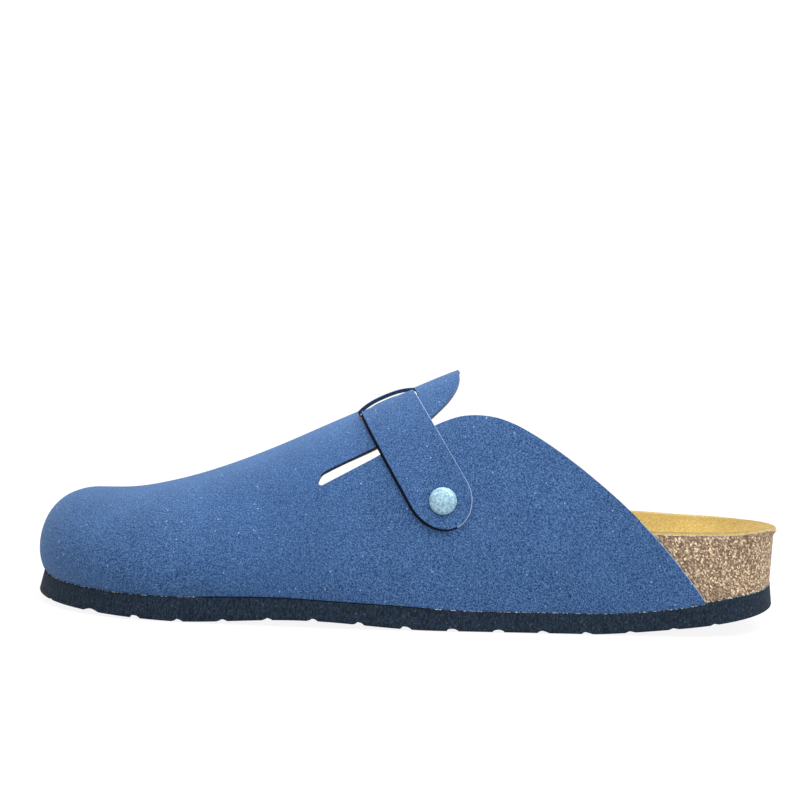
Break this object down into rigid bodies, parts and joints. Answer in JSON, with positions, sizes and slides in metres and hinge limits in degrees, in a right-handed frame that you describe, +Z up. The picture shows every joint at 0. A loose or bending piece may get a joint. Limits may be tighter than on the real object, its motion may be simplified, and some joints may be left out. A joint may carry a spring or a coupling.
{
  "type": "clog mule",
  "caption": "Left clog mule with a closed suede toe, tongue flap and riveted instep strap, on a cork footbed and a flat foam sole with a wavy tread; open at the heel.",
  "frame": {"origin": "on the floor under the middle of the shoe's box", "axes": "X along the shoe with the toe at -X and the heel at +X, the outer side of the foot at -Y, Z up"},
  "size_m": [0.2744, 0.0973, 0.09],
  "materials": {
    "sole_foam": "matt cut foam",
    "cork": "ground cork with pale granules",
    "insole_suede": "napped suede",
    "upper_suede": "napped suede",
    "strap_suede": "napped suede",
    "antique_nickel": "mottled antique nickel"
  },
  "bodies": {
    "root": {"outsole": "sole_foam", "footbed": "cork", "insole": "insole_suede", "upper": "upper_suede", "strap": "strap_suede", "strap_rivet": "antique_nickel"}
  },
  "joints": []
}
